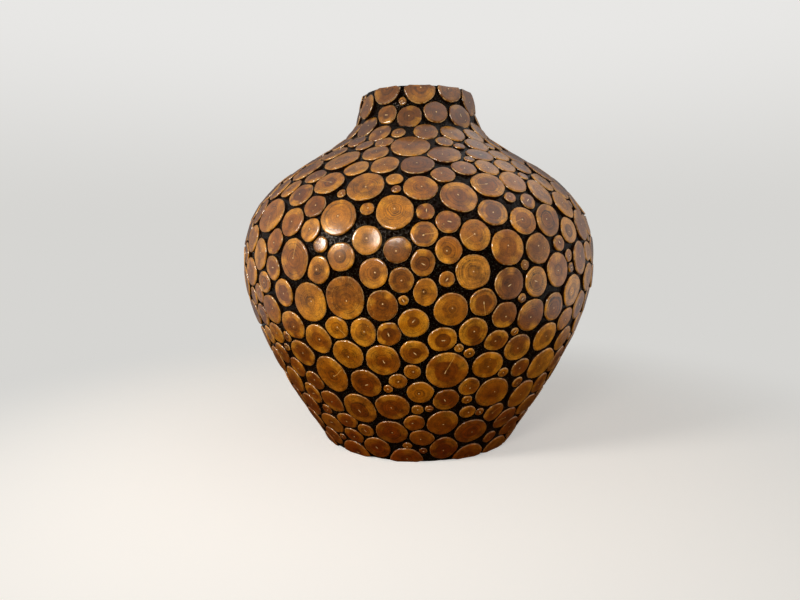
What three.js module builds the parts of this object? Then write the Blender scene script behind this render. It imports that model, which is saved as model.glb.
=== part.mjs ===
// Wooden vase: a round hollow vessel covered with cross-cut branch slices set in black resin.
// Millimetres, +Z up, origin in the middle of the underside, front towards -Y.

import * as THREE from 'three';
import { mergeVertices } from 'three/addons/utils/BufferGeometryUtils.js';

// Outline of the finished body, from the foot to the lip
const VASE_HEIGHT = 400;
const FOOT_RADIUS = 114;
const BELLY_RADIUS = 203;
const BELLY_HEIGHT = 204;
const SHOULDER_RADIUS = 130;
const SHOULDER_BELOW_LIP = 80;
const LIP_RADIUS = 63;

// Lean of the outline from upright in degrees, positive where it opens upwards
const FOOT_LEAN = 28;
const SHOULDER_LEAN = -58.5;
const LIP_LEAN = -16.5;

// Share of a stretch for which each of its ends keeps its direction
const LOWER_PULL = [0.12, 0.32];
const UPPER_PULL = [0.44, 0.41];
const NECK_PULL = [0.71, 0.455];

// Layers, from the faces of the slices inwards
const FACE_PROUD = 2.5;
const SLICE_THICKNESS = 8;
const SEAT_CLEARANCE = 0.3;
const BED_WALL = 2.5;
const VESSEL_WALL = 8;
const VESSEL_FLOOR = 14;

// Slices: the gap between neighbours, the polished edge and the crown of a face
const FACE_GAP = 0.8;
const EDGE_WIDTH = 1.6;
const EDGE_DROP = 1.2;
const FACE_CROWN = 0.5;

// Diameters of the common slices, and of the round ones that fill the holes between them
const COMMON_LEAST = 19;
const COMMON_MOST = 36;
const HOLE_LEAST = 17;
const HOLE_MOST = 24;
const MOST_OVAL = 1.22;

// Least way from a slice's centre to the foot or the lip
const END_MARGIN = 3;

// Share of the surface that large and common slices cover, and the start of the random draws
const COVERAGE = 0.77;
const SEED = 1847;

// Places tried for each common slice, and places tried for holes
const PLACE_TRIES = 12;
const HOLE_TRIES = 6000;

// Rounds of pushing apart before the slices swell, times that they swell, and rounds after each
const FIRST_ROUNDS = 90;
const SWELLS = 25;
const ROUNDS_AFTER_SWELL = 6;

// How many neighbours a common slice swells or shrinks to meet, the share of the way that it
// goes each time, its least and most share of its drawn size, and the overlap that ends it
const MET_NEIGHBOURS = 4;
const SWELL_RATE = 0.3;
const SWELL_LIMITS = [0.7, 1.2];
const CROWDED = 2;

// Slices that stand out, placed one by one: degrees to the right of the front, percent of the
// way from the foot to the lip along the outline, width and height. Those of at least the own
// piece diameter are pieces of their own, and the bed holds the others as it does the rest.
const OWN_PIECE_DIAMETER = 32;
const PLACED_SLICES = [
  [-11, 9.6, 34, 35], [10, 12.9, 33, 34], [-22, 16.2, 35, 41], [-9, 17.5, 35, 37],
  [43, 18.5, 37, 37], [10, 19.7, 27, 28], [27, 20.6, 37, 38], [1, 21.9, 26, 28],
  [-17, 23.7, 33, 35], [-29, 25.2, 37, 45], [46, 26.0, 41, 39], [9, 27.5, 42, 42],
  [22, 28.2, 33, 31], [-39, 29.6, 35, 31], [-10, 29.9, 34, 35], [-21, 30.7, 33, 33],
  [31, 31.8, 31, 30], [-1, 31.9, 27, 26], [42, 33.2, 33, 33], [-30, 33.8, 31, 32],
  [7, 34.8, 28, 26], [-15, 36.2, 25, 31], [-39, 36.2, 32, 31], [-1, 38.3, 28, 30],
  [33, 38.9, 34, 33], [-48, 39.1, 30, 33], [-30, 41.8, 37, 40], [-9, 41.7, 29, 31],
  [-19, 42.9, 39, 42], [50, 43.1, 36, 34], [-40, 43.2, 28, 29], [2, 44.5, 22, 26],
  [-4, 46.7, 23, 24], [-11, 47.9, 27, 28], [14, 48.2, 33, 32], [-35, 50.2, 37, 41],
  [-20, 50.9, 28, 27], [-52, 50.7, 30, 33], [24, 52.6, 34, 34], [34, 52.2, 30, 30],
  [-5, 52.3, 26, 24], [8, 52.3, 25, 25], [-13, 54.1, 28, 27], [2, 55.2, 25, 24],
  [15, 55.0, 30, 29], [49, 55.7, 31, 27], [-38, 57.8, 29, 31], [-22, 58.6, 37, 36],
  [21, 59.5, 31, 27], [-50, 59.3, 43, 39], [-6, 59.7, 35, 35], [12, 63.1, 36, 36],
  [1, 65.4, 33, 31], [-16, 65.9, 36, 40], [23, 66.4, 34, 33], [33, 67.5, 29, 30],
  [0, 72.9, 33, 34], [-51, 73.0, 40, 38], [-34, 76.1, 38, 42], [12, 77.4, 34, 34],
  [-27, 87.9, 25, 29], [25, 87.6, 27, 30], [6, 88.1, 26, 28],
  [95, 30, 40, 37], [140, 52, 42, 38], [178, 24, 38, 42], [-150, 60, 37, 40], [-105, 44, 42, 39],
];

// Fineness of the faceted solids
const SIDES = 32;
const ROWS = 12;
const OUTLINE_STEPS = 120;
const OWN_SIDES = 10;

// Common slices of at least this diameter have a crowned face, and smaller ones a flat one
const CROWNED_DIAMETER = 28;

// Half width of the part of the map that a slice's cell is cut from
const CELL_REACH = 90;

// How far past its half width a faceted slice reaches where it touches a neighbour
const CONTACT_REACH = 1.05;

const TURN = 2 * Math.PI;
const FRONT = -Math.PI / 2;

// Levels over the skin that the faces of the slices lie in
const GROOVE_LEVEL = -FACE_PROUD;
const SLICE_BACK_LEVEL = -SLICE_THICKNESS;
const SEAT_LEVEL = SLICE_BACK_LEVEL - SEAT_CLEARANCE;
const BED_BACK_LEVEL = SEAT_LEVEL - BED_WALL;
const VESSEL_OUTER_LEVEL = BED_BACK_LEVEL - SEAT_CLEARANCE;
const VESSEL_INNER_LEVEL = VESSEL_OUTER_LEVEL - VESSEL_WALL;

// Outline of the skin, as stations from the foot to the lip. A station holds its radius r and
// height z, the direction of the outline (alongR, alongZ), the way s along the outline, the
// way v on a map that keeps small circles round, and the area of the skin below it.

function stretch(from, fromLean, pull, to, toLean) {
  const direction = (lean) => {
    const angle = THREE.MathUtils.degToRad(lean);
    return new THREE.Vector2(Math.sin(angle), Math.cos(angle));
  };
  const span = from.distanceTo(to);
  const leave = from.clone().addScaledVector(direction(fromLean), pull[0] * span);
  const arrive = to.clone().addScaledVector(direction(toLean), -pull[1] * span);
  return new THREE.CubicBezierCurve(from, leave, arrive, to);
}

function traceOutline() {
  const foot = new THREE.Vector2(FOOT_RADIUS, 0);
  const belly = new THREE.Vector2(BELLY_RADIUS, BELLY_HEIGHT);
  const shoulder = new THREE.Vector2(SHOULDER_RADIUS, VASE_HEIGHT - SHOULDER_BELOW_LIP);
  const lip = new THREE.Vector2(LIP_RADIUS, VASE_HEIGHT);
  const stretches = [
    stretch(foot, FOOT_LEAN, LOWER_PULL, belly, 0),
    stretch(belly, 0, UPPER_PULL, shoulder, SHOULDER_LEAN),
    stretch(shoulder, SHOULDER_LEAN, NECK_PULL, lip, LIP_LEAN),
  ];
  const stations = [];
  stretches.forEach((curve, index) => {
    for (let step = index === 0 ? 0 : 1; step <= OUTLINE_STEPS; step += 1) {
      const point = curve.getPoint(step / OUTLINE_STEPS);
      const along = curve.getTangent(step / OUTLINE_STEPS);
      const station = { r: point.x, z: point.y, alongR: along.x, alongZ: along.y, s: 0, v: 0, area: 0 };
      const last = stations[stations.length - 1];
      if (last) {
        const length = Math.hypot(station.r - last.r, station.z - last.z);
        const middle = (station.r + last.r) / 2;
        station.s = last.s + length;
        station.v = last.v + length / middle;
        station.area = last.area + TURN * middle * length;
      }
      stations.push(station);
    }
  });
  return stations;
}

const OUTLINE = traceOutline();
const LIP = OUTLINE[OUTLINE.length - 1];
const LENGTH = LIP.s;

function stationAt(key, value) {
  let low = 0;
  let high = OUTLINE.length - 1;
  while (high - low > 1) {
    const middle = (low + high) >> 1;
    if (OUTLINE[middle][key] <= value) low = middle;
    else high = middle;
  }
  const a = OUTLINE[low];
  const b = OUTLINE[high];
  const share = THREE.MathUtils.clamp((value - a[key]) / (b[key] - a[key]), 0, 1);
  const station = {};
  for (const name of Object.keys(a)) station[name] = a[name] + share * (b[name] - a[name]);
  return station;
}

// A point at a level over the skin. Levels are square to the skin, but lean over to level
// planes near the foot and the lip, where the body is cut flat.

const END_BLEND = 24;

function endLean(s) {
  const fade = (way) => Math.max(0, 1 - way / END_BLEND) ** 2;
  const foot = OUTLINE[0];
  return (foot.alongR / foot.alongZ) * fade(s) + (LIP.alongR / LIP.alongZ) * fade(LENGTH - s);
}

function section(station, level) {
  const lean = endLean(station.s);
  const r = station.r + level * (station.alongZ + lean * station.alongR);
  const z = station.z + level * (-station.alongR + lean * station.alongZ);
  return new THREE.Vector2(r, z);
}

function place(phi, v, level) {
  const { x: r, y: z } = section(stationAt('v', v), level);
  return new THREE.Vector3(r * Math.cos(phi), r * Math.sin(phi), z);
}

// Layout of the slices on the skin

function seededRandom(seed) {
  let state = seed;
  return () => {
    state = (state * 48271) % 2147483647;
    return state / 2147483647;
  };
}

function settle(slice) {
  const station = stationAt('s', slice.s);
  const round = new THREE.Vector3(-Math.sin(slice.phi), Math.cos(slice.phi), 0);
  const out = new THREE.Vector3(Math.cos(slice.phi), Math.sin(slice.phi), 0);
  slice.r = station.r;
  slice.v = station.v;
  slice.round = round;
  slice.up = out.clone().multiplyScalar(station.alongR).setZ(station.alongZ);
  slice.centre = out.clone().multiplyScalar(station.r).setZ(station.z);
  return slice;
}

function newSlice(phi, s, width, height, tilt, placed) {
  const slice = { phi, s, a: width / 2, b: height / 2, tilt, placed };
  slice.radius = Math.sqrt(slice.a * slice.b);
  slice.drawn = slice.radius;
  slice.own = placed && 2 * slice.radius >= OWN_PIECE_DIAMETER;
  return settle(slice);
}

// Half width of an oval slice in a direction on the skin
function halfWidth(slice, x, y) {
  const size = Math.hypot(x, y) || 1;
  const c = Math.cos(slice.tilt);
  const d = Math.sin(slice.tilt);
  return size / Math.hypot((x * c + y * d) / slice.a, (y * c - x * d) / slice.b);
}

function between(one, other) {
  const way = other.centre.clone().sub(one.centre);
  const reachOne = halfWidth(one, way.dot(one.round), way.dot(one.up));
  const reachOther = halfWidth(other, way.dot(other.round), way.dot(other.up));
  return { way, clear: way.length() - reachOne - reachOther - FACE_GAP };
}

function spreadCommonSlices(slices, random) {
  let covered = slices.reduce((sum, slice) => sum + Math.PI * slice.radius ** 2, 0);
  while (covered < COVERAGE * LIP.area) {
    const diameter = COMMON_LEAST + (COMMON_MOST - COMMON_LEAST) * (random() + random()) / 2;
    const oval = Math.sqrt(1 + (MOST_OVAL - 1) * random());
    const tilt = Math.PI * random();
    let best = null;
    let bestClear = -Infinity;
    for (let count = 0; count < PLACE_TRIES; count += 1) {
      const s = stationAt('area', random() * LIP.area).s;
      const candidate = newSlice(random() * TURN, s, diameter * oval, diameter / oval, tilt, false);
      let clear = Infinity;
      for (const other of slices) {
        const gap = candidate.centre.distanceTo(other.centre) - candidate.radius - other.radius;
        clear = Math.min(clear, gap);
      }
      if (clear > bestClear) {
        best = candidate;
        bestClear = clear;
      }
    }
    slices.push(best);
    covered += Math.PI * best.radius ** 2;
  }
}

// Slices that overlap push each other along the skin. A placed one yields to placed ones only.
function pushApart(slices, rounds) {
  const eagerness = 0.7;
  for (let round = 0; round < rounds; round += 1) {
    const moves = slices.map(() => new THREE.Vector3());
    for (let i = 0; i < slices.length; i += 1) {
      for (let j = i + 1; j < slices.length; j += 1) {
        if (slices[i].centre.distanceTo(slices[j].centre) > slices[i].a + slices[j].b + COMMON_MOST) continue;
        const { way, clear } = between(slices[i], slices[j]);
        if (clear >= 0) continue;
        const shareOne = slices[i].placed === slices[j].placed ? 0.5 : Number(!slices[i].placed);
        way.normalize().multiplyScalar(-clear * eagerness);
        moves[i].addScaledVector(way, -shareOne);
        moves[j].addScaledVector(way, 1 - shareOne);
      }
    }
    slices.forEach((slice, index) => {
      const margin = slice.placed ? slice.b + END_MARGIN : END_MARGIN;
      slice.phi += moves[index].dot(slice.round) / slice.r;
      slice.s = THREE.MathUtils.clamp(slice.s + moves[index].dot(slice.up), margin, LENGTH - margin);
      settle(slice);
    });
  }
}

// Clear ways between a slice and its nearest neighbours, negative where they overlap
function nearestClears(slice, slices, count) {
  return slices
    .filter((other) => other !== slice && other.centre.distanceTo(slice.centre) < 3 * COMMON_MOST)
    .map((other) => between(slice, other).clear)
    .sort((one, other) => one - other)
    .slice(0, count);
}

// Common slices grow or shrink until they meet their nearest neighbours on average
function swell(slices) {
  const sizes = slices.map((slice) => {
    if (slice.placed) return slice.radius;
    const clears = nearestClears(slice, slices, MET_NEIGHBOURS);
    const mean = clears.reduce((sum, clear) => sum + clear, 0) / clears.length;
    const share = (slice.radius + SWELL_RATE * mean) / slice.drawn;
    return THREE.MathUtils.clamp(share, ...SWELL_LIMITS) * slice.drawn;
  });
  slices.forEach((slice, index) => {
    const share = sizes[index] / slice.radius;
    slice.a *= share;
    slice.b *= share;
    slice.radius = sizes[index];
  });
}

// Common slices that stay squeezed between others are taken out
function thinOut(slices) {
  for (let index = slices.length - 1; index >= 0; index -= 1) {
    const slice = slices[index];
    if (!slice.placed && nearestClears(slice, slices, 1)[0] < -CROWDED) slices.splice(index, 1);
  }
}

// Round slices in the widest holes, the widest first. A hole's size is the largest radius that
// is free round a place.
function fillHoles(slices, random) {
  const freeBeside = (spot, other) => {
    const way = spot.centre.clone().sub(other.centre);
    return way.length() - halfWidth(other, way.dot(other.round), way.dot(other.up)) - FACE_GAP;
  };
  const spots = Array.from({ length: HOLE_TRIES }, () => {
    const { s } = stationAt('area', random() * LIP.area);
    const spot = newSlice(random() * TURN, s, HOLE_LEAST, HOLE_LEAST, 0, false);
    spot.free = Math.min(s, LENGTH - s);
    for (const other of slices) {
      if (Math.abs(spot.centre.z - other.centre.z) < COMMON_MOST + HOLE_LEAST) {
        spot.free = Math.min(spot.free, freeBeside(spot, other));
      }
    }
    return spot;
  });
  for (;;) {
    const widest = spots.reduce((best, spot) => (spot.free > best.free ? spot : best));
    if (widest.free < HOLE_LEAST / 2) return;
    const diameter = Math.min(2 * widest.free, HOLE_MOST);
    const filler = newSlice(widest.phi, widest.s, diameter, diameter, 0, false);
    slices.push(filler);
    for (const spot of spots) spot.free = Math.min(spot.free, freeBeside(spot, filler));
  }
}

function layOutSlices() {
  const random = seededRandom(SEED);
  const slices = PLACED_SLICES.map(([degrees, percent, width, height]) => {
    const phi = FRONT + THREE.MathUtils.degToRad(degrees);
    return newSlice(phi, (percent / 100) * LENGTH, width, height, 0, true);
  });
  spreadCommonSlices(slices, random);
  pushApart(slices, FIRST_ROUNDS);
  for (let count = 0; count < SWELLS; count += 1) {
    swell(slices);
    pushApart(slices, ROUNDS_AFTER_SWELL);
  }
  thinOut(slices);
  fillHoles(slices, random);
  return slices;
}

// Cell of a slice: the polygon round it that lies nearer to it than to any other slice, on the
// map, from its centre. A corner also names what cuts the edge that follows it.

function cutCell(corners, nx, ny, limit, name) {
  const kept = [];
  corners.forEach((corner, index) => {
    const next = corners[(index + 1) % corners.length];
    const here = nx * corner.x + ny * corner.y - limit;
    const there = nx * next.x + ny * next.y - limit;
    if (here <= 0) kept.push(corner);
    if ((here <= 0) !== (there <= 0)) {
      const share = here / (here - there);
      const x = corner.x + share * (next.x - corner.x);
      const y = corner.y + share * (next.y - corner.y);
      kept.push({ x, y, edge: here <= 0 ? name : corner.edge });
    }
  });
  return kept;
}

function cellOf(slice, slices) {
  const wide = CELL_REACH / slice.r;
  const weight = (one) => ((one.radius + FACE_GAP / 2) / one.r) ** 2;
  let corners = [
    { x: -wide, y: -wide, edge: 'open' },
    { x: wide, y: -wide, edge: 'open' },
    { x: wide, y: wide, edge: 'open' },
    { x: -wide, y: wide, edge: 'open' },
  ];
  corners = cutCell(corners, 0, -1, slice.v, 'foot');
  corners = cutCell(corners, 0, 1, LIP.v - slice.v, 'lip');
  for (const other of slices) {
    if (other === slice) continue;
    const turn = other.phi - slice.phi;
    const x = turn - TURN * Math.round(turn / TURN);
    const y = other.v - slice.v;
    if (Math.hypot(x, y) > 2 * wide) continue;
    corners = cutCell(corners, x, y, (x * x + y * y + weight(slice) - weight(other)) / 2, 'slice');
  }
  return corners;
}

// Distance from the centre to the cell's edge in a direction, less half the gap
function cellReach(slice, corners, x, y) {
  let reach = Infinity;
  corners.forEach((corner, index) => {
    const next = corners[(index + 1) % corners.length];
    const length = Math.hypot(next.x - corner.x, next.y - corner.y);
    const nx = (next.y - corner.y) / length;
    const ny = (corner.x - next.x) / length;
    const facing = nx * x + ny * y;
    const limit = nx * corner.x + ny * corner.y - FACE_GAP / 2 / slice.r;
    if (facing > 1e-9) reach = Math.min(reach, limit / facing);
  });
  return reach;
}

// Outline of a slice that is one with the bed: it touches each edge of its cell, and the resin
// shows in the cell's corners. Where the foot or the lip cuts the slice, two corners lie there.
function commonFace(slice, corners) {
  const inset = FACE_GAP / 2 / slice.r;
  const outline = [];
  corners.forEach((corner, index) => {
    const next = corners[(index + 1) % corners.length];
    if (corner.edge === 'foot' || corner.edge === 'lip') {
      const side = Math.sign(next.x - corner.x);
      const chord = Math.sqrt(Math.max(0, (CONTACT_REACH * slice.radius / slice.r) ** 2 - corner.y ** 2));
      const start = Math.max(side * corner.x + inset, -chord);
      const end = Math.min(side * next.x - inset, chord);
      if (end - start > 2 * inset) {
        outline.push({ x: side * start, y: corner.y }, { x: side * end, y: corner.y });
        return;
      }
    }
    const dx = next.x - corner.x;
    const dy = next.y - corner.y;
    const nearest = -(corner.x * dx + corner.y * dy) / (dx * dx + dy * dy);
    const share = THREE.MathUtils.clamp(nearest, 0.2, 0.8);
    const x = corner.x + share * dx;
    const y = corner.y + share * dy;
    const size = Math.hypot(x, y);
    const reach = Math.min(size - inset, (CONTACT_REACH * halfWidth(slice, x, y)) / slice.r);
    outline.push({ x: (x * reach) / size, y: (y * reach) / size });
  });
  return outline;
}

// Outline of a slice that is a piece of its own, with evenly turned corners
function ownFace(slice, corners) {
  const outline = [];
  for (let step = 0; step < OWN_SIDES; step += 1) {
    const angle = (step / OWN_SIDES) * TURN;
    const x = Math.cos(angle);
    const y = Math.sin(angle);
    const reach = Math.min(halfWidth(slice, x, y) / slice.r, cellReach(slice, corners, x, y));
    outline.push({ x: x * reach, y: y * reach });
  }
  return outline;
}

// The same outline grown by a distance in millimetres
function grown(slice, outline, distance) {
  return outline.map(({ x, y }) => {
    const share = 1 + distance / slice.r / Math.hypot(x, y);
    return { x: x * share, y: y * share };
  });
}

// Angles of an outline's corners round the centre, from 0 to a full turn
function turns(outline) {
  return outline.map(({ x, y }) => (Math.atan2(y, x) + TURN) % TURN);
}

function raised(slice, outline, level) {
  return outline.map(({ x, y }) => place(slice.phi + x, slice.v + y, level));
}

// Solids are gathered as triangles that face outwards

function fan(triangles, loop, centre) {
  loop.forEach((point, index) => {
    triangles.push([point, loop[(index + 1) % loop.length], centre]);
  });
}

function flatFan(triangles, loop) {
  for (let index = 1; index < loop.length - 1; index += 1) {
    triangles.push([loop[0], loop[index], loop[index + 1]]);
  }
}

function strip(triangles, outer, inner) {
  outer.forEach((point, index) => {
    const next = (index + 1) % outer.length;
    triangles.push([point, outer[next], inner[next]]);
    triangles.push([point, inner[next], inner[index]]);
  });
}

// Band between two loops with different corners, matched by their angle
function zip(triangles, outer, outerAngles, inner, innerAngles, facing) {
  const unwound = (angles) => {
    const first = angles.indexOf(Math.min(...angles));
    const order = angles.map((_, index) => (index + first) % angles.length);
    return { order, angles: [...order.map((index) => angles[index]), angles[first] + TURN] };
  };
  const a = unwound(outerAngles);
  const b = unwound(innerAngles);
  const outerAt = (count) => outer[a.order[count % outer.length]];
  const innerAt = (count) => inner[b.order[count % inner.length]];
  let i = 0;
  let j = 0;
  while (i < outer.length || j < inner.length) {
    const useOuter = j === inner.length || (i < outer.length && a.angles[i + 1] <= b.angles[j + 1]);
    const corners = useOuter
      ? [outerAt(i), outerAt(i + 1), innerAt(j)]
      : [outerAt(i), innerAt(j + 1), innerAt(j)];
    triangles.push(facing > 0 ? corners : [corners[0], corners[2], corners[1]]);
    if (useOuter) i += 1;
    else j += 1;
  }
}

function solid(triangles) {
  const geometry = new THREE.BufferGeometry();
  const positions = triangles.flat().flatMap((point) => point.toArray());
  geometry.setAttribute('position', new THREE.Float32BufferAttribute(positions, 3));
  return mergeVertices(geometry, 1e-4);
}

// Bed: black resin on the vessel, with a seat for each slice that is a piece of its own. The
// other slices are one with the bed that holds them, and grooves run between their faces.

function seat(triangles, slice, corners) {
  const outline = grown(slice, ownFace(slice, corners), SEAT_CLEARANCE);
  const edge = raised(slice, corners, GROOVE_LEVEL);
  const mouth = raised(slice, outline, GROOVE_LEVEL);
  const floor = raised(slice, outline, SEAT_LEVEL);
  zip(triangles, edge, turns(corners), mouth, turns(outline), 1);
  strip(triangles, mouth, floor);
  fan(triangles, floor, place(slice.phi, slice.v, SEAT_LEVEL));
}

function commonSlice(triangles, slice, corners) {
  const outline = commonFace(slice, corners);
  const face = raised(slice, outline, 0);
  zip(triangles, raised(slice, corners, GROOVE_LEVEL), turns(corners), face, turns(outline), 1);
  if (2 * slice.radius > CROWNED_DIAMETER) fan(triangles, face, place(slice.phi, slice.v, 0));
  else flatFan(triangles, face);
}

function bedGeometry(slices, cells) {
  const triangles = [];
  const ends = { foot: new Map(), lip: new Map() };
  slices.forEach((slice, index) => {
    const corners = cells[index];
    if (slice.own) seat(triangles, slice, corners);
    else commonSlice(triangles, slice, corners);
    corners.forEach((corner) => {
      if (!(corner.edge in ends)) return;
      const phi = (((slice.phi + corner.x) % TURN) + TURN) % TURN;
      ends[corner.edge].set(phi, place(slice.phi + corner.x, slice.v + corner.y, GROOVE_LEVEL));
    });
  });

  const backAngles = Array.from({ length: SIDES }, (_, side) => (side / SIDES) * TURN);
  const back = (row) => backAngles.map((phi) => place(phi, (row / ROWS) * LIP.v, BED_BACK_LEVEL));
  for (let row = 0; row < ROWS; row += 1) strip(triangles, back(row + 1), back(row));

  const joinEnd = (end, row, facing) => {
    const angles = [...end.keys()].sort((one, other) => one - other);
    zip(triangles, angles.map((angle) => end.get(angle)), angles, back(row), backAngles, facing);
  };
  joinEnd(ends.foot, 0, -1);
  joinEnd(ends.lip, ROWS, 1);
  return solid(triangles);
}

function sliceGeometry(slice, corners) {
  const triangles = [];
  const outline = ownFace(slice, corners);
  const back = raised(slice, outline, SLICE_BACK_LEVEL);
  const shoulder = raised(slice, outline, -EDGE_DROP);
  const face = raised(slice, grown(slice, outline, -EDGE_WIDTH), 0);
  fan(triangles, [...back].reverse(), place(slice.phi, slice.v, SLICE_BACK_LEVEL));
  strip(triangles, back, shoulder);
  strip(triangles, shoulder, face);
  fan(triangles, face, place(slice.phi, slice.v, FACE_CROWN));
  return solid(triangles);
}

// Vessel: a turned form with a closed floor and an open mouth
function vesselGeometry() {
  const outer = [];
  const inner = [];
  for (let row = 0; row <= ROWS; row += 1) {
    const station = stationAt('v', (row / ROWS) * LIP.v);
    outer.push(section(station, VESSEL_OUTER_LEVEL));
    if (row % 2 === 0) inner.push(section(station, VESSEL_INNER_LEVEL));
  }
  const first = inner.findIndex((point) => point.y > VESSEL_FLOOR);
  const share = (VESSEL_FLOOR - inner[first - 1].y) / (inner[first].y - inner[first - 1].y);
  const floorEdge = inner[first - 1].clone().lerp(inner[first], share);
  const profile = [...outer, ...inner.slice(first).reverse(), floorEdge];
  const triangles = [];
  const ring = (point) => Array.from({ length: SIDES }, (_, side) => {
    const phi = (side / SIDES) * TURN;
    return new THREE.Vector3(point.x * Math.cos(phi), point.x * Math.sin(phi), point.y);
  });
  const rings = profile.map(ring);
  fan(triangles, [...rings[0]].reverse(), new THREE.Vector3(0, 0, 0));
  for (let index = 1; index < rings.length; index += 1) strip(triangles, rings[index - 1], rings[index]);
  fan(triangles, rings[rings.length - 1], new THREE.Vector3(0, 0, VESSEL_FLOOR));
  return solid(triangles);
}

// Finishes

function wood(color) {
  return new THREE.MeshStandardMaterial({ color, roughness: 0.28, metalness: 0 });
}

const SLICE_TONES = ['#b9782c', '#a4621f', '#c08a45', '#8f5220', '#ad7a4e'];
const BED_FINISH = new THREE.MeshStandardMaterial({ color: '#6a4420', roughness: 0.35, metalness: 0 });

// Assembly

function named(name, geometry, material) {
  const mesh = new THREE.Mesh(geometry, material);
  mesh.name = name;
  return mesh;
}

function assemble() {
  const vase = new THREE.Group();
  const slices = layOutSlices();
  const cells = slices.map((slice) => cellOf(slice, slices));
  vase.add(named('inner_vessel', vesselGeometry(), wood('#8a6238')));
  vase.add(named('mosaic_bed', bedGeometry(slices, cells), BED_FINISH));
  let count = 0;
  slices.forEach((slice, index) => {
    if (!slice.own) return;
    count += 1;
    const name = `branch_slice_${String(count).padStart(2, '0')}`;
    const tone = SLICE_TONES[count % SLICE_TONES.length];
    vase.add(named(name, sliceGeometry(slice, cells[index]), wood(tone)));
  });
  return vase;
}

export default assemble();
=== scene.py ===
# Wooden vase covered with cross-cut branch slices set in black resin.
# Metres, +Z up, front towards -Y. The layout of the slices follows the same rule as the solids.

import math

import bpy
import numpy as np
from mathutils import Matrix, Vector, noise


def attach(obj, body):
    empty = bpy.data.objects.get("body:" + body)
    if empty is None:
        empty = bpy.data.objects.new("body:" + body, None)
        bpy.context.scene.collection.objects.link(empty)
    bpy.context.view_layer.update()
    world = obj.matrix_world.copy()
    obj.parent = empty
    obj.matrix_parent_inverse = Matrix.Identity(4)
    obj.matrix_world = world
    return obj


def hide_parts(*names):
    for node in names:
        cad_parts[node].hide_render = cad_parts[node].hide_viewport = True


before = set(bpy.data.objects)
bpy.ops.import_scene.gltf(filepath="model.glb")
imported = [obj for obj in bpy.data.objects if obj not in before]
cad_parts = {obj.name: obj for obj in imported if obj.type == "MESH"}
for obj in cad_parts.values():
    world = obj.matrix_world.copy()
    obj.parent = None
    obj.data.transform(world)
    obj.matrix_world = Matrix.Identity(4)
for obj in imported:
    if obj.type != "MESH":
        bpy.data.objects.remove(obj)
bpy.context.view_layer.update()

MM = 0.001
TURN = 2 * math.pi
FRONT = -math.pi / 2

# Outline of the finished body in millimetres, from the foot to the lip
VASE_HEIGHT = 400.0
FOOT_RADIUS = 114.0
BELLY_RADIUS = 203.0
BELLY_HEIGHT = 204.0
SHOULDER_RADIUS = 130.0
SHOULDER_BELOW_LIP = 80.0
LIP_RADIUS = 63.0
FOOT_LEAN = 28.0
SHOULDER_LEAN = -58.5
LIP_LEAN = -16.5
LOWER_PULL = (0.12, 0.32)
UPPER_PULL = (0.44, 0.41)
NECK_PULL = (0.71, 0.455)
OUTLINE_STEPS = 120
END_BLEND = 24.0

# Layers in millimetres, from the faces of the slices inwards
FACE_PROUD = 2.2
SLICE_THICKNESS = 8.0
BED_BACK_LEVEL = -10.8
VESSEL_OUTER_LEVEL = -11.1
VESSEL_INNER_LEVEL = -19.1
VESSEL_FLOOR = 14.0

# Slices in millimetres
FACE_GAP = 0.8
EDGE_WIDTH = 0.9
EDGE_DROP = 0.7
FACE_STEP = 0.25
RAGGED = 0.18
COMMON_LEAST = 19.0
COMMON_MOST = 36.0
END_MARGIN = 3.0

# Most slope of a face, most width by height of a common slice, how far the pith lies off the
# middle as a share of the half width, and the lobes of an outline and their size as a share
FACE_TILT = 0.045
MOST_OVAL = 1.22
PITH_OFFSET = 0.13
LOBES = (2, 3, 4, 5)
LOBE_SIZE = 0.05

# How the slices are laid out: the share of the skin that the common ones cover at first,
# places tried for each, and seeds of the shapes, of the tones and from slice to slice
COVERAGE = 0.77
PLACE_TRIES = 12
SEED = 1847
TONE_SEED = 1746437
SLICE_SEED_STEP = 7919

# Rounds in which overlapping slices are pushed apart, the share of the overlap that a round
# takes away, rounds between searches for pairs, and their reach in widths of a common slice
FIRST_ROUNDS = 90
ROUNDS_AFTER_SWELL = 6
PUSH_SHARE = 0.7
ROUNDS_PER_SEARCH = 10
PAIR_REACH = 2.0

# Swelling of the common slices until they meet their neighbours, and the overlap in
# millimetres past which one is taken out
SWELLS = 25
MET_NEIGHBOURS = 4
SWELL_RATE = 0.3
SWELL_LIMITS = (0.7, 1.2)
CROWDED = 2.0

# Slices that fill the holes: number of places tried, least and most diameter
WIDE_HOLES = (6000, 17.0, 24.0)
SMALL_HOLES = (26000, 8.4, 17.0)
OWN_PIECE_DIAMETER = 32.0

# How far the outlines are filled out, how sharply they are pressed flat at a neighbour, and
# how far off and how squarely a neighbour has to face them to press
FILL = 1.008
CORNER_SOFTNESS = 14
NEIGHBOUR_REACH = 90.0
FACING_LEAST = 0.15
FAR_OFF = 1e6
TINY = 1e-9

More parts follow.
